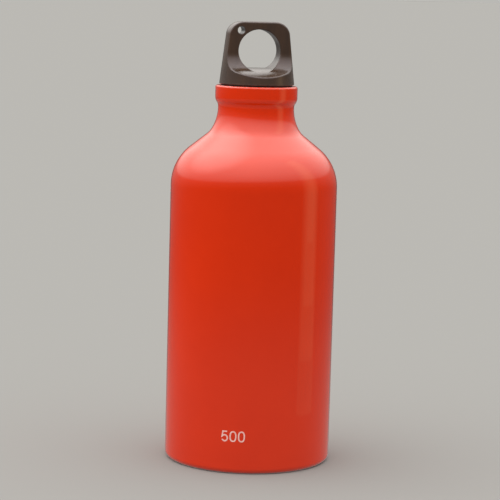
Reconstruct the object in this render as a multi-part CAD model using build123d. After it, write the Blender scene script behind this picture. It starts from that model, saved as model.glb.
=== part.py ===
"""Camping fuel bottle: a lacquered drawn aluminium bottle with a black screw cap.

Millimetres, +Z up. The origin is the centre of the bottle's foot, on the surface that it stands on, and +Z
is the bottle's axis. The flat loop of the closed cap lies in the XZ plane, so its finger hole runs along Y.

The bottle shell is one drawn piece with its rim rolled in over a threaded ring. The cap is a loop handle with
a hollow threaded plug set in its underside, and a rubber gasket lies between the cap and the rim. The two
threads are real right-handed ridges in mesh: the closed cap turns anticlockwise, seen from above, and climbs
one pitch a turn. Every solid is written in its place on the closed bottle.
"""
import os
from math import atan, atan2, cos, degrees, hypot, radians, sin, sqrt

from build123d import *

# Bottle shell
body_diameter = 73.0
bottle_height = 164.9
wall = 1.0
foot_edge_radius = 2.5
foot_land_width = 2.6
foot_inner_radius = 3.0
base_dome_height = 6.5
shoulder_radius = 21.6
shoulder_angle = 51.6
neck_blend_radius = 9.0
neck_flare_radius = 19.3
neck_flare_angle = 28.0
neck_diameter = 33.2
neck_length = 0.1

# Collar, which stands out of the neck by a step, and rolled rim, whose lip ends just outside the thread
collar_step = 1.35
collar_step_height = 4.4
collar_height = 5.0
rim_edge_radius = 0.9
rim_lip_gap = 0.4

# Threaded ring in the neck
insert_wall = 1.2
insert_length = 10.4
insert_chamfer = 0.5
insert_thread_margin = 1.3
thread_pitch = 3.0
thread_depth = 1.1
thread_crest_width = 0.8
thread_root_width = 1.6
thread_seat = 0.25
thread_clearance = 0.2
thread_core_clearance = 0.25

# Gasket, which lies in a recess of the cap's base and clears the plug, and the open gap round it over the rim
gasket_thickness = 1.0
gasket_inset = 0.9
gasket_bore_clearance = 0.3
gasket_recess_clearance = 0.2
rim_gap = 0.5

# Threaded plug under the cap, whose tip stays inside the threaded ring
plug_tip_inset = 0.6
plug_wall = 2.2
plug_chamfer = 0.6
plug_thread_margin = 1.3
plug_spigot_wall = 1.5
plug_spigot_height = 3.6
plug_roof = 1.6

# Cap handle, its heights from the lower edge of its base, which stays inside the collar's edge
cap_inset = 1.55
cap_floor_height = 7.3
cap_floor_radius = 36.0
cap_corner_radius = 6.0
cap_edge_radius = 0.7
skirt_edge_radius = 0.4
loop_thickness = 9.4
loop_flare_radius = 8.8
loop_bar_width = 4.05
loop_top_width = 3.3
finger_hole_diameter = 18.5
finger_hole_height = 14.65
finger_edge_radius = 0.6
lanyard_hole_diameter = 3.3
lanyard_hole_gap = 1.15
lanyard_angle = 47.0
lanyard_edge_radius = 0.3

# How far a cutting tool runs past what it cuts, how near an edge lies to the face that it is found by, and
# how near two ends of an outline are when they are one point
overrun = 1.0
edge_margin = 0.01
same_point_margin = 0.001

body_radius = body_diameter / 2
neck_radius = neck_diameter / 2
collar_radius = neck_radius + collar_step
thread_root_radius = neck_radius - wall - insert_wall
mouth_radius = thread_root_radius + rim_lip_gap
insert_top = bottle_height - wall
insert_bottom = insert_top - insert_length
insert_thread_start = insert_bottom + insert_thread_margin
plug_thread_start = insert_thread_start + thread_pitch / 2
plug_core_radius = thread_root_radius - thread_depth - thread_core_clearance
plug_crest_radius = thread_root_radius - thread_clearance
plug_tip = insert_bottom + plug_tip_inset
spigot_radius = plug_core_radius - plug_spigot_wall
gasket_top = bottle_height + gasket_thickness
cap_base = bottle_height + rim_gap
cap_base_radius = collar_radius - cap_inset
gasket_radius = cap_base_radius - gasket_inset
gasket_recess = gasket_top - cap_base
cap_top_radius = finger_hole_diameter / 2 + loop_bar_width
cap_height = finger_hole_height + finger_hole_diameter / 2 + loop_top_width
cap_reach = cap_base_radius + cap_top_radius


def at_angle(centre, radius, angle):
    """Point of a circle in the (radius, height) half plane."""
    turn = radians(angle)
    return (centre[0] + radius * cos(turn), centre[1] + radius * sin(turn))


def arc(centre, radius, first, last):
    """Arc of a circle between two angles."""
    middle = at_angle(centre, radius, (first + last) / 2)
    return ThreePointArc(at_angle(centre, radius, first), middle, at_angle(centre, radius, last))


def chain(*points):
    """Straight lines from each point to the next."""
    return [Line(a, b) for a, b in zip(points, points[1:])]


def turned(edges):
    """Solid of revolution about Z from a closed chain of edges in the (radius, height) half plane."""
    section = Plane.XZ * make_face(edges)
    return revolve(section, Axis.Z)


def base_arcs():
    """Underside of the shell: a shallow dome that runs into the inner edge of the foot."""
    land_inner = body_radius - foot_edge_radius - foot_land_width
    drop = base_dome_height - foot_inner_radius
    dome_radius = (land_inner**2 + drop**2 - foot_inner_radius**2) / (2 * base_dome_height)
    dome_centre = (0, base_dome_height - dome_radius)
    inner_centre = (land_inner, foot_inner_radius)
    lean = degrees(atan2(inner_centre[1] - dome_centre[1], land_inner))
    return [
        (dome_centre, dome_radius, 1, 90, lean),
        (inner_centre, foot_inner_radius, -1, 180 + lean, 270),
        ((body_radius - foot_edge_radius, foot_edge_radius), foot_edge_radius, -1, 270, 360),
    ]


def shoulder_arcs():
    """Shoulder that bulges out of the body, the tight hollow blend above it, and the slow flare of the neck.

    Their heights are worked out downwards from the collar.
    """
    lean = radians(shoulder_angle)
    flare = radians(neck_flare_angle)
    slack = neck_flare_radius - neck_blend_radius
    flare_centre = (
        neck_radius + neck_flare_radius,
        bottle_height - collar_height - collar_step_height - neck_length,
    )
    blend_centre = (flare_centre[0] - slack * cos(flare), flare_centre[1] - slack * sin(flare))
    leave = body_radius - shoulder_radius * (1 - cos(lean))
    arrive = blend_centre[0] - neck_blend_radius * cos(lean)
    slope_height = (leave - arrive) * cos(lean) / sin(lean)
    shoulder_height = blend_centre[1] - slope_height - (neck_blend_radius + shoulder_radius) * sin(lean)
    return [
        ((body_radius - shoulder_radius, shoulder_height), shoulder_radius, -1, 0, shoulder_angle),
        (blend_centre, neck_blend_radius, 1, 180 + shoulder_angle, 180 + neck_flare_angle),
        (flare_centre, neck_flare_radius, 1, 180 + neck_flare_angle, 180),
    ]


def collar_arcs():
    """Two equal arcs, one hollow and one full, that step the neck out to the collar."""
    turn = 2 * atan(collar_step / collar_step_height)
    radius = collar_step_height / (2 * sin(turn))
    top = bottle_height - collar_height
    return [
        ((neck_radius + radius, top - collar_step_height), radius, 1, 180, 180 - degrees(turn)),
        ((collar_radius - radius, top), radius, -1, -degrees(turn), 0),
    ]


def skin(arcs, depth):
    """Arcs of the shell, each moved into the metal by depth, with a straight line where two are apart.

    An arc is its centre, its radius outside, 1 where it grows with depth or -1 where it shrinks, and its
    first and last angle.
    """
    edges = []
    for centre, radius, growth, first, last in arcs:
        edge = arc(centre, radius + growth * depth, first, last)
        if edges and (edge @ 0 - edges[-1] @ 1).length > same_point_margin:
            edges.append(Line(edges[-1] @ 1, edge @ 0))
        edges.append(edge)
    return edges


def thread_ridge(radius, reach, start, end):
    """Right-handed ridge that climbs from start to end, its root on this radius and its crest reach away.

    Its flanks run on into the metal by thread_seat, so that the ridge and what carries it are one solid.
    """
    seat = -thread_seat if reach > 0 else thread_seat
    flank = (thread_root_width - thread_crest_width) / 2 / abs(reach)
    crest_half = thread_crest_width / 2
    seat_half = thread_root_width / 2 + flank * thread_seat
    corners = [
        (radius + seat, start - seat_half),
        (radius + reach, start - crest_half),
        (radius + reach, start + crest_half),
        (radius + seat, start + seat_half),
    ]
    section = Plane.XZ * make_face(chain(*corners, corners[0]))
    path = Helix(thread_pitch, end - start, radius, center=(0, 0, start))
    return sweep(section, path, is_frenet=True)


def bottle_shell():
    """Drawn aluminium shell from the domed base to the rim, which is rolled in over the threaded ring."""
    arcs = base_arcs() + shoulder_arcs() + collar_arcs()
    outside = skin(arcs, 0)
    inside = skin(arcs, wall)
    rim_centre = (collar_radius - rim_edge_radius, bottle_height - rim_edge_radius)
    rim = arc(rim_centre, rim_edge_radius, 0, 90)
    lip = chain(
        rim @ 1,
        (mouth_radius, bottle_height),
        (mouth_radius, insert_top),
        (collar_radius - wall, insert_top),
        inside[-1] @ 1,
    )
    axis_line = Line(inside[0] @ 0, outside[0] @ 0)
    collar_line = Line(outside[-1] @ 1, rim @ 0)
    return turned(outside + [collar_line, rim] + lip + inside + [axis_line])


def neck_insert():
    """Threaded ring that fills the neck and collar inside the shell."""
    step = skin(collar_arcs(), wall)
    outline = chain(
        step[-1] @ 1,
        (collar_radius - wall, insert_top),
        (mouth_radius, insert_top),
        (thread_root_radius, insert_top - insert_chamfer),
        (thread_root_radius, insert_bottom + insert_chamfer),
        (thread_root_radius + insert_chamfer, insert_bottom),
        (neck_radius - wall, insert_bottom),
        step[0] @ 0,
    )
    thread_end = insert_top - insert_thread_margin
    ridge = thread_ridge(thread_root_radius, -thread_depth, insert_thread_start, thread_end)
    return turned(step + outline) + ridge


def cap_gasket():
    """Flat rubber ring on the rim, in the recess of the cap's base."""
    inner = plug_core_radius + gasket_bore_clearance
    lower = [(inner, bottle_height), (gasket_radius, bottle_height)]
    upper = [(gasket_radius, gasket_top), (inner, gasket_top)]
    return turned(chain(*lower, *upper, lower[0]))


def cap_plug():
    """Hollow plug, open below, with the thread outside and a spigot that is set in the handle."""
    bore = plug_core_radius - plug_wall
    top = gasket_top + plug_spigot_height
    outline = chain(
        (0, top),
        (spigot_radius, top),
        (spigot_radius, gasket_top),
        (plug_core_radius, gasket_top),
        (plug_core_radius, plug_tip + plug_chamfer),
        (plug_core_radius - plug_chamfer, plug_tip),
        (bore, plug_tip),
        (bore, top - plug_roof),
        (0, top - plug_roof),
        (0, top),
    )
    reach = plug_crest_radius - plug_core_radius
    thread_end = bottle_height - plug_thread_margin
    ridge = thread_ridge(plug_core_radius, reach, plug_thread_start, thread_end)
    return turned(outline) + ridge


def cap_blank():
    """Round body that the handle is cut from: a cone with a rounded corner and a flat top."""
    taper = (cap_base_radius - cap_top_radius) / cap_height
    lean = atan(taper)
    height = cap_height - cap_corner_radius
    centre = (cap_base_radius - taper * height - cap_corner_radius / cos(lean), height)
    corner = arc(centre, cap_corner_radius, degrees(lean), 90)
    return turned([corner] + chain(corner @ 1, (0, cap_height), (0, 0), (cap_base_radius, 0), corner @ 0))


def crown_height(depth):
    """Height of the base's crowned floor at this distance from the loop's middle plane."""
    return cap_floor_height - cap_floor_radius + sqrt(cap_floor_radius**2 - depth**2)


def crown_line(first, last):
    """Arc of the crowned floor between two distances from the loop's middle plane."""
    points = [(depth, crown_height(depth)) for depth in (first, (first + last) / 2, last)]
    return ThreePointArc(*points)


def base_side():
    """Side view of the base below its crowned floor, cut wider than the base."""
    corners = [(cap_reach, crown_height(cap_reach)), (cap_reach, -overrun)]
    mirrored = [(-depth, height) for depth, height in reversed(corners)]
    return make_face([crown_line(-cap_reach, cap_reach)] + chain(*corners, *mirrored))


def loop_side():
    """Half the side view of the handle: the flat loop and the hollow flare from it onto the crowned floor."""
    half = loop_thickness / 2
    across = half + loop_flare_radius
    rise = sqrt((cap_floor_radius + loop_flare_radius) ** 2 - across**2)
    lean = degrees(atan2(rise, across))
    flare = arc((across, cap_floor_height - cap_floor_radius + rise), loop_flare_radius, 180, 180 + lean)
    top = cap_height + overrun
    crown = crown_line((flare @ 1).X, cap_reach)
    outline = chain(crown @ 1, (cap_reach, -overrun), (0, -overrun), (0, top), (half, top), flare @ 0)
    return make_face([flare, crown] + outline)


def loop_edges(body):
    """Edges where the loop's two faces, their flares and the crowned floor meet the round blank."""
    outer = body.edges().filter_by(lambda edge: abs((edge @ 0.5).Y) > loop_thickness / 2 - edge_margin)
    corner_height = cap_height - cap_corner_radius
    return outer.filter_by(lambda edge: edge.geom_type != GeomType.LINE or (edge @ 0.5).Z > corner_height)


def drilled(body, offset, height, diameter, edge_radius):
    """Body with a round hole along Y, the edges of its two mouths rounded."""
    drill = Cylinder(diameter / 2, 2 * cap_reach, rotation=(90, 0, 0))
    body -= Pos(offset, 0, height) * drill

    def on_hole(edge):
        points = [edge @ 0, edge @ 0.5]
        gaps = [abs(hypot(point.X - offset, point.Z - height) - diameter / 2) for point in points]
        return edge.geom_type != GeomType.LINE and max(gaps) < edge_margin

    return fillet(body.edges().filter_by(on_hole), edge_radius)


def cap_handle():
    """Handle: a tapered round body cut to a flat loop that flares into the base, with its two holes.

    The base is kept whole and put back after the finger hole, which ends on the crowned floor. Underneath are
    the recess for the gasket and the socket for the plug.
    """
    side = extrude(Plane.YZ * loop_side(), cap_reach, both=True)
    body = cap_blank() & (side + mirror(side, Plane.XZ))
    body = fillet(loop_edges(body), cap_edge_radius)
    body = fillet(body.edges().group_by(Axis.Z)[0], skirt_edge_radius)
    base = body & extrude(Plane.YZ * base_side(), cap_reach, both=True)
    body = drilled(body, 0, finger_hole_height, finger_hole_diameter, finger_edge_radius) + base
    spacing = (finger_hole_diameter + lanyard_hole_diameter) / 2 + lanyard_hole_gap
    lanyard_offset = -spacing * cos(radians(lanyard_angle))
    lanyard_height = finger_hole_height + spacing * sin(radians(lanyard_angle))
    body = drilled(body, lanyard_offset, lanyard_height, lanyard_hole_diameter, lanyard_edge_radius)
    upright = (Align.CENTER, Align.CENTER, Align.MIN)
    body -= Cylinder(gasket_radius + gasket_recess_clearance, gasket_recess, align=upright)
    body -= Cylinder(spigot_radius, gasket_recess + plug_spigot_height, align=upright)
    return Pos(0, 0, cap_base) * body


pieces = {
    "bottle_shell": bottle_shell(),
    "neck_insert": neck_insert(),
    "cap_gasket": cap_gasket(),
    "cap_plug": cap_plug(),
    "cap_handle": cap_handle(),
}

os.makedirs("parts", exist_ok=True)
for name, solid in pieces.items():
    export_step(solid, f"parts/{name}.step")
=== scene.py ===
"""Looks of the camping fuel bottle: its lacquered skin, its printed number, its finishes and a plain studio.

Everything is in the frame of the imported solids: metres, +Z up along the bottle's axis, the origin at the
centre of the foot. Sizes are named in millimetres, as a maker would measure them, and mm turns them into
metres.
"""

import bpy
import numpy as np
from mathutils import Matrix, Vector


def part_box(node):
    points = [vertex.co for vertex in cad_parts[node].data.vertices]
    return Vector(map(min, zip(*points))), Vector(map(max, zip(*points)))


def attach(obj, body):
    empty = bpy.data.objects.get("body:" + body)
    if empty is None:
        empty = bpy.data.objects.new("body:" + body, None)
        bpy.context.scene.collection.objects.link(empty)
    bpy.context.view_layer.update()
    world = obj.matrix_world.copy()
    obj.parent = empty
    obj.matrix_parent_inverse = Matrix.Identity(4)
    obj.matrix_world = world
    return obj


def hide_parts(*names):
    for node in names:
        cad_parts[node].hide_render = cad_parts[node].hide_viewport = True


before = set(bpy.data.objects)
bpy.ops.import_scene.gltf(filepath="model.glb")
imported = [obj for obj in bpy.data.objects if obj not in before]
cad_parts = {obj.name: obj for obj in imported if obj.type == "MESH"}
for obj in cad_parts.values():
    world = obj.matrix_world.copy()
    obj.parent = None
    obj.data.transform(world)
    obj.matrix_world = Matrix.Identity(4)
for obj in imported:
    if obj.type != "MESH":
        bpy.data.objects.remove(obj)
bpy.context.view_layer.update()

mm = 0.001

# Skin of the bottle, in millimetres and degrees; the columns of its mesh; and the gap under which two points
# of its section are one
wall = 1.0
foot_edge_radius = 2.5
foot_land_width = 2.6
foot_inner_radius = 3.0
base_dome_height = 6.5
shoulder_radius = 21.6
shoulder_angle = 51.6
neck_blend_radius = 9.0
neck_flare_radius = 19.3
neck_flare_angle = 28.0
neck_radius = 16.6
neck_length = 0.1
collar_step = 1.35
collar_step_height = 4.4
collar_height = 5.0
rim_edge_radius = 0.9
mouth_radius = 14.8
turn_columns = 288
repeat_gap = 1e-4

# Printed number: each numeral's size, the pen's width, and where the row stands on the body
numeral_height = 4.75
numeral_width = 3.05
numeral_pitch = 3.66
pen_width = 0.6
ink_thickness = 0.03
number_azimuth = -21.4
number_height = 16.5

# Shape of the numerals: the nought's power, lower is squarer, and its points; and of the five, the bowl's
# share of the height, where it starts and ends in degrees, its points, and, as shares of half the width or
# height, the ends of the top bar, the stem's foot and how far that foot is below the bowl's start
nought_power = 0.8
nought_points = 64
bowl_share = 0.63
bowl_start = 140.0
bowl_end = -152.0
bowl_points = 44
bar_right = 0.86
bar_left = -0.66
stem_foot = -0.92
stem_drop = 0.06

# Camera, in millimetres and degrees; it looks along +Y when its turn is zero. Its clip range is in metres
camera_distance = 850.0
camera_height = 204.65
camera_turn = -12.0
camera_pitch = 7.519
camera_pan = -0.061
camera_roll = 1.583
camera_lens = 139.9
camera_sensor = 36.0
camera_clip = (0.05, 1000.0)

# Floor
floor_reach = 150000.0
floor_corners = 96
floor_tone = (0.276, 0.273, 0.268)
floor_roughness = 0.9

# Plain soft light on the colours: its level at the horizon, what it gains overhead, the left's extra share,
# and the share that it loses straight in front and behind; its tint; and what the camera sees past the
# floor's edge
plain_level = 1.157
overhead_gain = 1.285
side_light = 0.24
front_loss = 0.444
light_tint = (1.0, 0.985, 0.94)
backdrop_level = 0.49

# Sky that gloss mirrors: the tip of its level and the way it tips, in degrees from the camera's side; its
# brightness at sines of the height above that level, which a ramp holds as shares of its strength; and a
# glow with its place, reach and level
sky_tip = 8.0
sky_tip_side = -155.0
sky_strength = 4.0
sky_levels = [
    (0.0, 0.15),
    (0.14, 0.3),
    (0.215, 0.42),
    (0.262, 1.0),
    (0.334, 1.42),
    (0.415, 1.78),
    (0.5, 2.12),
    (0.643, 2.55),
    (0.743, 2.9),
    (0.848, 3.25),
    (0.927, 3.5),
    (0.985, 3.65),
]
glow_side = -98.0
glow_height = 55.0
glow_reach = 38.0
glow_level = 1.9

# Pale ground close in front, mirrored in the floor's stead: how far below the level, as sines, it starts and
# is full, and its level
ledge_start = 0.13
ledge_full = 0.24
ledge_level = 0.22

# Soft dark flag low behind the bottle in the same sky: its place and reach, and the share of light it takes
flag_side = 180.0
flag_height = 5.0
flag_reach = 26.0
flag_share = 0.6

# Warm cards on the right, seen only in reflections, one behind the other so that their edges look soft: their
# distance, turn from the camera's side, widths, lower ends, common top, the level that each adds and its tint
card_distance = 125.0
card_turn = 75.0
card_widths = (22.0, 34.0, 46.0, 58.0)
card_feet = (88.0, 56.0, 28.0, 0.0)
card_top = 300.0
card_level = 0.15
card_tint = (1.35, 1.0, 0.5)

# The body's radius and the rim's height, from the solid's box
shell_reach = np.array(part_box("bottle_shell")[1]) / mm
body_radius = shell_reach[1]
bottle_height = shell_reach[2]
collar_radius = neck_radius + collar_step


def new_piece(name, points, faces, materials, smooth=True):
    """Mesh object at the origin from an array of points in millimetres and an array of faces."""
    mesh = bpy.data.meshes.new(name)
    mesh.from_pydata((np.asarray(points) * mm).tolist(), [], [list(face) for face in faces])
    mesh.polygons.foreach_set("use_smooth", np.full(len(mesh.polygons), smooth))
    for material in materials:
        mesh.materials.append(material)
    mesh.validate()
    piece = bpy.data.objects.new(name, mesh)
    bpy.context.scene.collection.objects.link(piece)
    return piece


def ring_faces(rows, columns):
    """Quads of a grid whose columns run round and close on themselves."""
    row, column = np.meshgrid(np.arange(rows - 1), np.arange(columns), indexing="ij")
    here = row * columns + column
    beside = row * columns + (column + 1) % columns
    return np.stack([here, beside, beside + columns, here + columns], axis=-1).reshape(-1, 4)


def arc(centre, radius, first, last, steps):
    """Points of a circle in the (radius, height) half plane, from one angle to another."""
    angle = np.radians(np.linspace(first, last, steps))
    return np.stack([centre[0] + radius * np.cos(angle), centre[1] + radius * np.sin(angle)], axis=1)


def joined(*stretches):
    """One line of points from stretches that follow each other, without repeated points."""
    line = np.concatenate(stretches)
    apart = np.linalg.norm(np.diff(line, axis=0), axis=1) > repeat_gap
    return line[np.concatenate([[True], apart])]


def skin_line(depth):
    """Section of the shell from the middle of its domed base to its collar, moved into the metal by depth.

    It is a chain of arcs in the (radius, height) half plane; an arc that bulges out of the metal loses depth
    from its radius, and a hollow one gains it. Straight stretches are the gaps between the arcs.
    """
    land_inner = body_radius - foot_edge_radius - foot_land_width
    drop = base_dome_height - foot_inner_radius
    dome_radius = (land_inner**2 + drop**2 - foot_inner_radius**2) / (2 * base_dome_height)
    dome_centre = (0, base_dome_height - dome_radius)
    base_lean = np.degrees(np.arctan2(foot_inner_radius - dome_centre[1], land_inner))
    foot_centre = (body_radius - foot_edge_radius, foot_edge_radius)

    lean, flare = np.radians([shoulder_angle, neck_flare_angle])
    slack = neck_flare_radius - neck_blend_radius
    flare_height = bottle_height - collar_height - collar_step_height - neck_length
    flare_centre = (neck_radius + neck_flare_radius, flare_height)
    blend_centre = (flare_centre[0] - slack * np.cos(flare), flare_height - slack * np.sin(flare))
    leave = body_radius - shoulder_radius * (1 - np.cos(lean))
    arrive = blend_centre[0] - neck_blend_radius * np.cos(lean)
    slope = (leave - arrive) / np.tan(lean)
    shoulder_height = blend_centre[1] - slope - (neck_blend_radius + shoulder_radius) * np.sin(lean)
    shoulder_centre = (body_radius - shoulder_radius, shoulder_height)

    bend = np.degrees(2 * np.arctan(collar_step / collar_step_height))
    step_radius = collar_step_height / (2 * np.sin(np.radians(bend)))
    step_top = bottle_height - collar_height
    hollow_centre = (neck_radius + step_radius, step_top - collar_step_height)
    full_centre = (collar_radius - step_radius, step_top)
    return joined(
        arc(dome_centre, dome_radius + depth, 90, base_lean, steps=14),
        arc((land_inner, foot_inner_radius), foot_inner_radius - depth, 180 + base_lean, 270, steps=10),
        arc(foot_centre, foot_edge_radius - depth, 270, 360, steps=16),
        arc(shoulder_centre, shoulder_radius - depth, 0, shoulder_angle, steps=28),
        arc(blend_centre, neck_blend_radius + depth, 180 + shoulder_angle, 180 + neck_flare_angle, steps=14),
        arc(flare_centre, neck_flare_radius + depth, 180 + neck_flare_angle, 180, steps=20),
        arc(hollow_centre, step_radius + depth, 180, 180 - bend, steps=10),
        arc(full_centre, step_radius - depth, -bend, 0, steps=10),
    )


def lacquered_shell(outside, inside):
    """The drawn shell: its section turned about Z, (r cos a, r sin a, z), outside first and then inside.

    The section runs from the middle of the base up the outside, over the rolled rim and down the inside, and
    both its ends are closed with one point on the axis. All of it below the lip inside is bare metal.
    """
    outer = skin_line(0)
    rim_centre = (collar_radius - rim_edge_radius, bottle_height - rim_edge_radius)
    rim = arc(rim_centre, rim_edge_radius, 0, 90, steps=14)
    lip = [(mouth_radius, bottle_height), (mouth_radius, bottle_height - wall)]
    seat = [(collar_radius - wall, bottle_height - wall)]
    inner = skin_line(wall)[::-1]
    section = joined(outer, rim, lip, seat, inner)
    ring = section[1:-1]
    column = np.arange(turn_columns)
    angle = column * 2 * np.pi / turn_columns
    points = np.stack(
        [
            np.outer(ring[:, 0], np.cos(angle)),
            np.outer(ring[:, 0], np.sin(angle)),
            np.outer(ring[:, 1], np.ones(turn_columns)),
        ],
        axis=-1,
    ).reshape(-1, 3)
    first, last = len(points), len(points) + 1
    points = np.concatenate([points, [[0, 0, section[0, 1]], [0, 0, section[-1, 1]]]])
    quads = ring_faces(len(ring), turn_columns)
    beside = (column + 1) % turn_columns
    end = (len(ring) - 1) * turn_columns
    fans = [(first, b, a) for a, b in zip(column, beside)]
    fans += [(last, end + a, end + b) for a, b in zip(column, beside)]
    piece = new_piece("lacquered_shell", points, quads.tolist() + fans, [outside, inside])
    rows = np.repeat(np.arange(len(ring) - 1), turn_columns)
    bare = np.concatenate([rows > len(outer) + len(rim), np.arange(2 * turn_columns) >= turn_columns])
    piece.data.polygons.foreach_set("material_index", bare.astype(np.int32))
    return piece


def stroke(path, closed):
    """Ribbon of ink along a path on the flat print: left and right edges at half the pen's width."""
    before = np.roll(path, 1, axis=0)
    after = np.roll(path, -1, axis=0)
    if not closed:
        before[0] = 2 * path[0] - path[1]
        after[-1] = 2 * path[-1] - path[-2]
    ahead = (after - path) / np.linalg.norm(after - path, axis=1)[:, None]
    behind = (path - before) / np.linalg.norm(path - before, axis=1)[:, None]
    along = ahead + behind
    along /= np.linalg.norm(along, axis=1)[:, None]
    across = np.stack([-along[:, 1], along[:, 0]], axis=1)
    reach = pen_width / 2 / np.sum(along * ahead, axis=1)
    return path + across * reach[:, None], path - across * reach[:, None]


def numeral_paths():
    """Pen paths of the numerals 5 and 0, centred on their own middle.

    The nought is a closed superellipse. The five is a straight bar and stem, and a bowl that is part of an
    ellipse.
    """
    half_wide = (numeral_width - pen_width) / 2
    half_high = (numeral_height - pen_width) / 2
    angle = np.linspace(0, 2 * np.pi, nought_points, endpoint=False)
    nought = np.stack(
        [
            half_wide * np.sign(np.cos(angle)) * np.abs(np.cos(angle)) ** nought_power,
            half_high * np.sign(np.sin(angle)) * np.abs(np.sin(angle)) ** nought_power,
        ],
        axis=1,
    )
    bowl_high = bowl_share * half_high
    bowl_angle = np.radians(np.linspace(bowl_start, bowl_end, bowl_points))
    bowl = np.stack(
        [half_wide * np.cos(bowl_angle), bowl_high * np.sin(bowl_angle) - half_high + bowl_high], axis=1
    )
    bar = [(bar_right * half_wide, half_high), (bar_left * half_wide, half_high)]
    stem = [(stem_foot * half_wide, bowl[0, 1] - stem_drop * half_high)]
    return np.concatenate([bar, stem, bowl[1:]]), nought


def printed_number(material):
    """The plain number 500, a film of ink on the cylinder: s along the print becomes the angle s / radius."""
    five, nought = numeral_paths()
    points, faces = [], []
    for place, (path, closed) in enumerate([(five, False), (nought, True), (nought, True)]):
        left, right = stroke(path, closed)
        flat = np.stack([left, right, right, left], axis=1)
        lift = np.array([0.0, 0.0, 1.0, 1.0]) * ink_thickness
        angle = (flat[..., 0] + (place - 1) * numeral_pitch) / body_radius + np.radians(number_azimuth)
        radius = body_radius + lift
        height = number_height + flat[..., 1]
        grid = np.stack([radius * np.sin(angle), -radius * np.cos(angle), height], axis=-1)
        count = sum(len(part) for part in points)
        rows = len(path)
        here = np.arange(rows if closed else rows - 1)
        there = (here + 1) % rows
        for side in range(4):
            beside = (side + 1) % 4
            quads = [here * 4 + side, here * 4 + beside, there * 4 + beside, there * 4 + side]
            faces += (np.stack(quads, axis=1) + count).tolist()
        if not closed:
            last = count + (rows - 1) * 4
            faces += [[count + 3, count + 2, count + 1, count]]
            faces += [[last, last + 1, last + 2, last + 3]]
        points.append(grid.reshape(-1, 3))
    return new_piece("printed_number", np.concatenate(points), faces, [material], smooth=False)


def add_node(tree, kind, **properties):
    """Node of a kind, with values for its properties."""
    node = tree.nodes.new(kind)
    for label, value in properties.items():
        setattr(node, label, value)
    return node


def put(tree, socket, value):
    """Gives an input socket a number, a row of numbers, or a link from another node's output."""
    if isinstance(value, bpy.types.NodeSocket):
        tree.links.new(value, socket)
    else:
        socket.default_value = value


def calculate(tree, operation, *terms):
    """Output of a math node on numbers and links."""
    node = add_node(tree, "ShaderNodeMath", operation=operation)
    for socket, term in zip(node.inputs, terms):
        put(tree, socket, term)
    return node.outputs[0]


def ranged(tree, value, low=0.0, high=1.0, first=0.0, last=1.0, kind="LINEAR"):
    """Output of a map range node, which turns the stretch from low to high into that from first to last."""
    node = add_node(tree, "ShaderNodeMapRange", interpolation_type=kind)
    terms = {"Value": value, "From Min": low, "From Max": high, "To Min": first, "To Max": last}
    for label, term in terms.items():
        put(tree, node.inputs[label], term)
    return node.outputs["Result"]


def blended(tree, share, first, second, kind="RGBA"):
    """Output of a mix node: first where the share is 0, second where it is 1."""
    node = add_node(tree, "ShaderNodeMix", data_type=kind)
    before, after, out = {"RGBA": (6, 7, 2), "FLOAT": (2, 3, 0)}[kind]
    put(tree, node.inputs[0], share)
    put(tree, node.inputs[before], first)
    put(tree, node.inputs[after], second)
    return node.outputs[out]


def noise(tree, coordinates, scale, detail, roughness=0.5):
    """Output of a noise texture."""
    node = tree.nodes.new("ShaderNodeTexNoise")
    terms = {"Vector": coordinates, "Scale": scale, "Detail": detail, "Roughness": roughness}
    for label, term in terms.items():
        put(tree, node.inputs[label], term)
    return node.outputs["Fac"]


def split(tree, vector):
    """Outputs X, Y and Z of a vector."""
    node = tree.nodes.new("ShaderNodeSeparateXYZ")
    put(tree, node.inputs["Vector"], vector)
    return node.outputs


def combined(tree, **axes):
    """Vector of the axes given."""
    node = tree.nodes.new("ShaderNodeCombineXYZ")
    for axis, value in axes.items():
        put(tree, node.inputs[axis], value)
    return node.outputs["Vector"]


def effect_group(name, inputs, outputs):
    """Empty node group with named inputs, each with its first value, and named outputs."""
    group = bpy.data.node_groups.new(name, "ShaderNodeTree")
    for label, kind, value in inputs:
        socket = group.interface.new_socket(label, in_out="INPUT", socket_type=kind)
        socket.default_value = value
    for label, kind in outputs:
        group.interface.new_socket(label, in_out="OUTPUT", socket_type=kind)
    return group, group.nodes.new("NodeGroupInput").outputs, group.nodes.new("NodeGroupOutput").inputs


def use_group(tree, group, **values):
    """Outputs of a node group placed in a tree, with its inputs by name."""
    node = tree.nodes.new("ShaderNodeGroup")
    node.node_tree = group
    for label, value in values.items():
        put(tree, node.inputs[label.replace("_", " ")], value)
    return node.outputs


def tone_group():
    """Slow mottling of a colour: a soft noise moves it between two tones."""
    group, given, result = effect_group(
        "soft_mottling",
        [
            ("Coordinates", "NodeSocketVector", (0, 0, 0)),
            ("Light Tone", "NodeSocketColor", (0.8, 0.8, 0.8, 1)),
            ("Dark Tone", "NodeSocketColor", (0.2, 0.2, 0.2, 1)),
            ("Scale", "NodeSocketFloat", 40.0),
        ],
        [("Colour", "NodeSocketColor"), ("Mask", "NodeSocketFloat")],
    )
    clouds = noise(group, given["Coordinates"], given["Scale"], detail=4.0, roughness=0.62)
    mask = ranged(group, clouds, low=0.3, high=0.7)
    put(group, result["Colour"], blended(group, mask, given["Dark Tone"], given["Light Tone"]))
    put(group, result["Mask"], mask)
    return group


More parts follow.
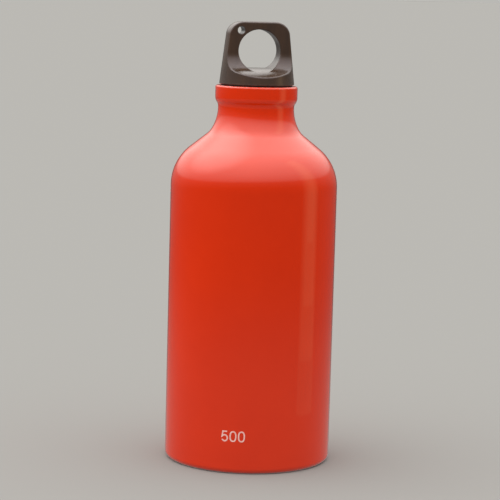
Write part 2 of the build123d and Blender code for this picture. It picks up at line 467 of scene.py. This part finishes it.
def grain_group():
    """Fine relief: two noises, one four times finer, added, as a height for a bump."""
    group, given, result = effect_group(
        "fine_relief",
        [
            ("Coordinates", "NodeSocketVector", (0, 0, 0)),
            ("Scale", "NodeSocketFloat", 800.0),
            ("Fine Share", "NodeSocketFloat", 0.3),
        ],
        [("Height", "NodeSocketFloat")],
    )
    coarse = noise(group, given["Coordinates"], given["Scale"], detail=2.0)
    finer = calculate(group, "MULTIPLY", given["Scale"], 4.0)
    fine = noise(group, given["Coordinates"], finer, detail=2.0)
    share = calculate(group, "MULTIPLY", fine, given["Fine Share"])
    put(group, result["Height"], calculate(group, "ADD", coarse, share))
    return group


def wear_group():
    """Wear at two heights of a piece: 1 at a low and a high edge, 0 a reach away, broken up by a noise."""
    group, given, result = effect_group(
        "edge_wear",
        [
            ("Coordinates", "NodeSocketVector", (0, 0, 0)),
            ("Low Edge", "NodeSocketFloat", 0.0),
            ("High Edge", "NodeSocketFloat", 0.1),
            ("Reach", "NodeSocketFloat", 0.001),
            ("Scale", "NodeSocketFloat", 900.0),
            ("Cover", "NodeSocketFloat", 0.5),
        ],
        [("Mask", "NodeSocketFloat")],
    )
    height = split(group, given["Coordinates"])["Z"]
    above = calculate(group, "SUBTRACT", height, given["Low Edge"])
    below = calculate(group, "SUBTRACT", given["High Edge"], height)
    nearest = calculate(group, "MINIMUM", above, below)
    share = calculate(group, "DIVIDE", nearest, given["Reach"])
    near = ranged(group, share, first=1.0, last=0.0, kind="SMOOTHSTEP")
    specks = noise(group, given["Coordinates"], given["Scale"], detail=5.0, roughness=0.7)
    patches = ranged(group, specks, low=given["Cover"], high=0.75)
    put(group, result["Mask"], calculate(group, "MULTIPLY", near, patches))
    return group


def turning_group():
    """Turning marks: fine rings round Z, a noise that changes with height and distance from the axis only."""
    group, given, result = effect_group(
        "turning_marks",
        [
            ("Coordinates", "NodeSocketVector", (0, 0, 0)),
            ("Scale", "NodeSocketFloat", 3000.0),
        ],
        [("Mask", "NodeSocketFloat")],
    )
    parts = split(group, given["Coordinates"])
    away = add_node(group, "ShaderNodeVectorMath", operation="LENGTH")
    put(group, away.inputs[0], combined(group, X=parts["X"], Y=parts["Y"]))
    place = combined(group, X=away.outputs["Value"], Z=parts["Z"])
    put(group, result["Mask"], noise(group, place, given["Scale"], detail=3.0, roughness=0.6))
    return group


def finish(name, **sockets):
    """Material with a principled shader and Object coordinates; values go on the shader's own sockets."""
    material = bpy.data.materials.new(name)
    material.use_nodes = True
    tree = material.node_tree
    tree.nodes.clear()
    output = tree.nodes.new("ShaderNodeOutputMaterial")
    shader = tree.nodes.new("ShaderNodeBsdfPrincipled")
    tree.links.new(shader.outputs["BSDF"], output.inputs["Surface"])
    for label, value in sockets.items():
        shader.inputs[label.replace("_", " ")].default_value = value
    place = tree.nodes.new("ShaderNodeTexCoord")
    return material, tree, shader, place.outputs["Object"]


def mottled(tree, shader, coordinates, light, dark, scale):
    """Base colour of a finish from the shared mottling, whose outputs it gives back."""
    tone = use_group(
        tree,
        soft_mottling,
        Light_Tone=(*light, 1),
        Dark_Tone=(*dark, 1),
        Scale=scale,
        Coordinates=coordinates,
    )
    put(tree, shader.inputs["Base Color"], tone["Colour"])
    return tone


def uneven_roughness(tree, shader, mask, first, last):
    """Roughness of a finish between two values, driven by a mask."""
    put(tree, shader.inputs["Roughness"], ranged(tree, mask, first=first, last=last))


def grain(tree, coordinates, scale, fine_share):
    """Height of the shared fine relief."""
    return use_group(tree, fine_relief, Scale=scale, Fine_Share=fine_share, Coordinates=coordinates)["Height"]


def bumped(tree, shader, height, depth):
    """Bump of a finish from a height; depth is in metres."""
    bump = tree.nodes.new("ShaderNodeBump")
    bump.inputs["Distance"].default_value = depth
    put(tree, bump.inputs["Height"], height)
    put(tree, shader.inputs["Normal"], bump.outputs["Normal"])


def worn_tone(tree, shader, coordinates, tone, edges, reach, scale, cover, worn):
    """Base colour that turns to a worn tone at two heights of the piece; gives back the wear's mask."""
    mask = use_group(
        tree,
        edge_wear,
        Low_Edge=edges[0],
        High_Edge=edges[1],
        Reach=reach,
        Scale=scale,
        Cover=cover,
        Coordinates=coordinates,
    )["Mask"]
    put(tree, shader.inputs["Base Color"], blended(tree, mask, tone["Colour"], (*worn, 1)))
    return mask


def orange_lacquer():
    """Glossy orange-red lacquer under a clear coat, with the faint orange peel of a sprayed film.

    The clear coat is rubbed thin and the colour dulled in small patches round the foot and the rim.
    """
    material, tree, shader, coordinates = finish(
        "orange_lacquer", Specular_IOR_Level=0.0, Coat_Weight=1.0, Coat_Roughness=0.025, Coat_IOR=1.5
    )
    tone = mottled(
        tree, shader, coordinates, light=(0.66, 0.028, 0.0006), dark=(0.61, 0.024, 0.0004), scale=22.0
    )
    edges = (0.0, bottle_height * mm)
    worn = (0.62, 0.10, 0.045)
    wear = worn_tone(
        tree, shader, coordinates, tone, edges, reach=0.0016, scale=1300.0, cover=0.5, worn=worn
    )
    put(tree, shader.inputs["Coat Weight"], ranged(tree, wear, first=1.0, last=0.25))
    uneven_roughness(tree, shader, tone["Mask"], first=0.42, last=0.5)
    bumped(tree, shader, grain(tree, coordinates, scale=420.0, fine_share=0.2), depth=2e-6)
    return material


def bare_aluminium():
    """Drawn and turned aluminium, satin, with rings round the axis in its shine and its relief."""
    material, tree, shader, coordinates = finish("bare_aluminium", Metallic=1.0)
    mottled(tree, shader, coordinates, light=(0.62, 0.62, 0.63), dark=(0.52, 0.52, 0.53), scale=90.0)
    marks = use_group(tree, turning_marks, Scale=2600.0, Coordinates=coordinates)["Mask"]
    uneven_roughness(tree, shader, marks, first=0.24, last=0.46)
    bumped(tree, shader, marks, depth=1.2e-5)
    return material


def parting_line(tree, coordinates, width, height):
    """Moulding seam at Y = 0: the height of a fine ridge, highest in the middle plane."""
    away = calculate(tree, "ABSOLUTE", split(tree, coordinates)["Y"])
    return ranged(tree, away, high=width, first=height, last=0.0, kind="SMOOTHSTEP")


def cap_plastic():
    """Glossy black-brown moulded plastic: upright flow marks, rubbed edges and a parting line."""
    # Specular_Tint is a painted lavender tint on the gloss: it stands in for the colour of an overcast sky,
    # not a colour of the plastic
    material, tree, shader, coordinates = finish(
        "cap_plastic", Specular_IOR_Level=0.5, Specular_Tint=(0.93, 0.89, 1.0, 1.0)
    )
    flow = tree.nodes.new("ShaderNodeMapping")
    flow.inputs["Scale"].default_value = (1.0, 1.0, 0.16)
    put(tree, flow.inputs["Vector"], coordinates)
    upright = flow.outputs["Vector"]
    tone = mottled(
        tree, shader, upright, light=(0.063, 0.035, 0.021), dark=(0.039, 0.023, 0.0145), scale=210.0
    )
    low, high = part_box("cap_handle")
    edges = (low[2], high[2])
    worn = (0.10, 0.075, 0.065)
    worn_tone(tree, shader, coordinates, tone, edges, reach=0.0012, scale=1500.0, cover=0.42, worn=worn)
    uneven_roughness(tree, shader, tone["Mask"], first=0.28, last=0.2)
    seam = parting_line(tree, coordinates, width=1.1e-4, height=6.0)
    fine = grain(tree, coordinates, scale=900.0, fine_share=0.3)
    bumped(tree, shader, calculate(tree, "ADD", fine, seam), depth=4e-6)
    return material


def plug_plastic():
    """Plain black plastic of the plug, less glossy than the handle."""
    material, tree, shader, coordinates = finish("plug_plastic")
    tone = mottled(
        tree, shader, coordinates, light=(0.05, 0.045, 0.043), dark=(0.03, 0.027, 0.026), scale=200.0
    )
    uneven_roughness(tree, shader, tone["Mask"], first=0.35, last=0.5)
    bumped(tree, shader, grain(tree, coordinates, scale=1600.0, fine_share=0.5), depth=8e-6)
    return material


def gasket_rubber():
    """Matte black rubber."""
    material, tree, shader, coordinates = finish("gasket_rubber", Specular_IOR_Level=0.35)
    tone = mottled(
        tree, shader, coordinates, light=(0.035, 0.034, 0.034), dark=(0.02, 0.02, 0.02), scale=300.0
    )
    uneven_roughness(tree, shader, tone["Mask"], first=0.65, last=0.85)
    bumped(tree, shader, grain(tree, coordinates, scale=2200.0, fine_share=0.6), depth=1e-5)
    return material


def pale_ink():
    """Pale pinkish-grey printing ink, a little thin in places."""
    material, tree, shader, coordinates = finish("pale_ink", Specular_IOR_Level=0.3)
    tone = mottled(tree, shader, coordinates, light=(0.84, 0.54, 0.50), dark=(0.76, 0.40, 0.36), scale=600.0)
    uneven_roughness(tree, shader, tone["Mask"], first=0.4, last=0.55)
    return material


def studio_floor():
    """Plain pale floor, a disc wide enough for its edge to lie on the horizon; gloss doesn't see it."""
    angle = np.linspace(0, 2 * np.pi, floor_corners, endpoint=False)
    points = np.stack([floor_reach * np.cos(angle), floor_reach * np.sin(angle), 0 * angle], axis=1)
    material = finish(
        "studio_floor", Base_Color=(*floor_tone, 1), Roughness=floor_roughness, Specular_IOR_Level=0.0
    )[0]
    floor = new_piece("studio_floor", points, [list(range(len(points)))], [material], smooth=False)
    floor.visible_glossy = False


def heading(side, height):
    """Unit vector at an angle from the camera's side, positive to its right, and at an angle of height."""
    turn, lift = np.radians([camera_turn + side, height])
    return np.sin(turn) * np.cos(lift), -np.cos(turn) * np.cos(lift), np.sin(lift)


def along_heading(tree, side, height):
    """How far a ray of the world points along a heading, as a cosine."""
    ray = tree.nodes.new("ShaderNodeTexCoord")
    share = add_node(tree, "ShaderNodeVectorMath", operation="DOT_PRODUCT")
    put(tree, share.inputs[0], ray.outputs["Generated"])
    put(tree, share.inputs[1], heading(side, height))
    return share.outputs["Value"]


def lit_level(tree):
    """Level that lights the colours: (level + gain * up) * (1 + side * left) * (1 - loss * front ** 2).

    Up, left and front are the cosines between a ray and those headings, and up is 0 below the horizon.
    """
    up = calculate(tree, "MAXIMUM", along_heading(tree, 0, 90), 0.0)
    level = calculate(tree, "MULTIPLY_ADD", up, overhead_gain, plain_level)
    leaning = calculate(tree, "MULTIPLY_ADD", along_heading(tree, -90, 0), side_light, 1.0)
    front = calculate(tree, "POWER", along_heading(tree, 0, 0), 2.0)
    kept = calculate(tree, "MULTIPLY_ADD", front, -front_loss, 1.0)
    return calculate(tree, "MULTIPLY", calculate(tree, "MULTIPLY", level, leaning), kept)


def mirrored_sky(tree):
    """Level that gloss mirrors: a sky over a tipped level, a glow and the ledge, less what the flag takes."""
    ramp = tree.nodes.new("ShaderNodeValToRGB")
    stops = ramp.color_ramp.elements
    for place, (position, brightness) in enumerate(sky_levels):
        stop = stops[place] if place < 2 else stops.new(position)
        stop.position = position
        share = brightness / sky_strength
        stop.color = (share, share, share, 1)
    put(tree, ramp.inputs["Fac"], along_heading(tree, sky_tip_side, 90 - sky_tip))

    glow_place = along_heading(tree, glow_side, glow_height)
    glow_edge = np.cos(np.radians(glow_reach))
    glow = ranged(tree, glow_place, low=glow_edge, last=glow_level, kind="SMOOTHSTEP")
    down = along_heading(tree, 0, -90)
    ledge = ranged(tree, down, low=ledge_start, high=ledge_full, last=ledge_level, kind="SMOOTHSTEP")
    extra = calculate(tree, "ADD", glow, ledge)
    sky = calculate(tree, "MULTIPLY_ADD", ramp.outputs["Color"], sky_strength, extra)

    flag_place = along_heading(tree, flag_side, flag_height)
    flag_edge = np.cos(np.radians(flag_reach))
    flag = ranged(tree, flag_place, low=flag_edge, first=1.0, last=1 - flag_share, kind="SMOOTHSTEP")
    return calculate(tree, "MULTIPLY", sky, flag)


def studio_world():
    """Soft light from all round: a plain level for what is lit, and an overcast sky for what gloss mirrors.

    Gloss sees darker ground in the floor's stead, pale only close in front, so that colours stay deep. The
    camera sees the floor's own tone beyond the floor's edge.
    """
    world = bpy.data.worlds.new("studio")
    bpy.context.scene.world = world
    world.use_nodes = True
    tree = world.node_tree
    tree.nodes.clear()
    output = tree.nodes.new("ShaderNodeOutputWorld")
    dome = tree.nodes.new("ShaderNodeBackground")
    dome.inputs["Color"].default_value = (*light_tint, 1)
    ray = tree.nodes.new("ShaderNodeLightPath").outputs
    either = blended(tree, ray["Is Glossy Ray"], lit_level(tree), mirrored_sky(tree), kind="FLOAT")
    seen = blended(tree, ray["Is Camera Ray"], either, backdrop_level, kind="FLOAT")
    put(tree, dome.inputs["Strength"], seen)
    put(tree, output.inputs["Surface"], dome.outputs["Background"])


def reflection_cards():
    """Tall soft cards beside the bottle, which draw a faint streak in its lacquer and do nothing else."""
    turn = np.radians(camera_turn - 90 + card_turn)
    outward = Vector((np.cos(turn), np.sin(turn), 0))
    for place, (width, foot) in enumerate(zip(card_widths, card_feet)):
        data = bpy.data.lights.new("reflection_card", "AREA")
        data.shape = "RECTANGLE"
        data.size = width * mm
        data.size_y = (card_top - foot) * mm
        data.energy = card_level * np.pi * data.size * data.size_y
        data.color = card_tint
        card = bpy.data.objects.new("reflection_card", data)
        bpy.context.scene.collection.objects.link(card)
        card.rotation_euler = outward.to_track_quat("Z", "Y").to_euler()
        card.location = outward * (card_distance + place) * mm + Vector((0, 0, (card_top + foot) / 2 * mm))
        card.visible_camera = False
        card.visible_diffuse = False


def photo_camera():
    """Camera at the photograph's place: turned round the axis, then pitched, panned and rolled."""
    pitch, pan, roll = np.radians([camera_pitch, camera_pan, camera_roll])
    forward = np.array([np.sin(pan) * np.cos(pitch), np.cos(pan) * np.cos(pitch), -np.sin(pitch)])
    level = np.cross(forward, (0, 0, 1))
    level /= np.linalg.norm(level)
    upright = np.cross(level, forward)
    right = np.cos(roll) * level + np.sin(roll) * upright
    up = -np.sin(roll) * level + np.cos(roll) * upright
    facing = Matrix(np.stack([right, up, -forward], axis=1).tolist()).to_4x4()
    place = Matrix.Translation(Vector((0, -camera_distance, camera_height)) * mm)
    data = bpy.data.cameras.new("photo_camera")
    data.lens = camera_lens
    data.sensor_width = camera_sensor
    data.clip_start, data.clip_end = camera_clip
    camera = bpy.data.objects.new("photo_camera", data)
    bpy.context.scene.collection.objects.link(camera)
    camera.matrix_world = Matrix.Rotation(np.radians(camera_turn), 4, "Z") @ place @ facing
    bpy.context.scene.camera = camera


def dress(node, material):
    """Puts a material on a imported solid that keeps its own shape."""
    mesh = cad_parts[node].data
    mesh.materials.clear()
    mesh.materials.append(material)


soft_mottling = tone_group()
fine_relief = grain_group()
edge_wear = wear_group()
turning_marks = turning_group()
aluminium = bare_aluminium()

shell = lacquered_shell(orange_lacquer(), aluminium)
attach(shell, "bottle")
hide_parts("bottle_shell")

number = printed_number(pale_ink())
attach(number, "bottle")

dress("neck_insert", aluminium)
dress("cap_gasket", gasket_rubber())
dress("cap_handle", cap_plastic())
dress("cap_plug", plug_plastic())

studio_floor()
studio_world()
reflection_cards()
photo_camera()
bpy.context.scene.view_settings.view_transform = "Standard"

bpy.context.view_layer.update()
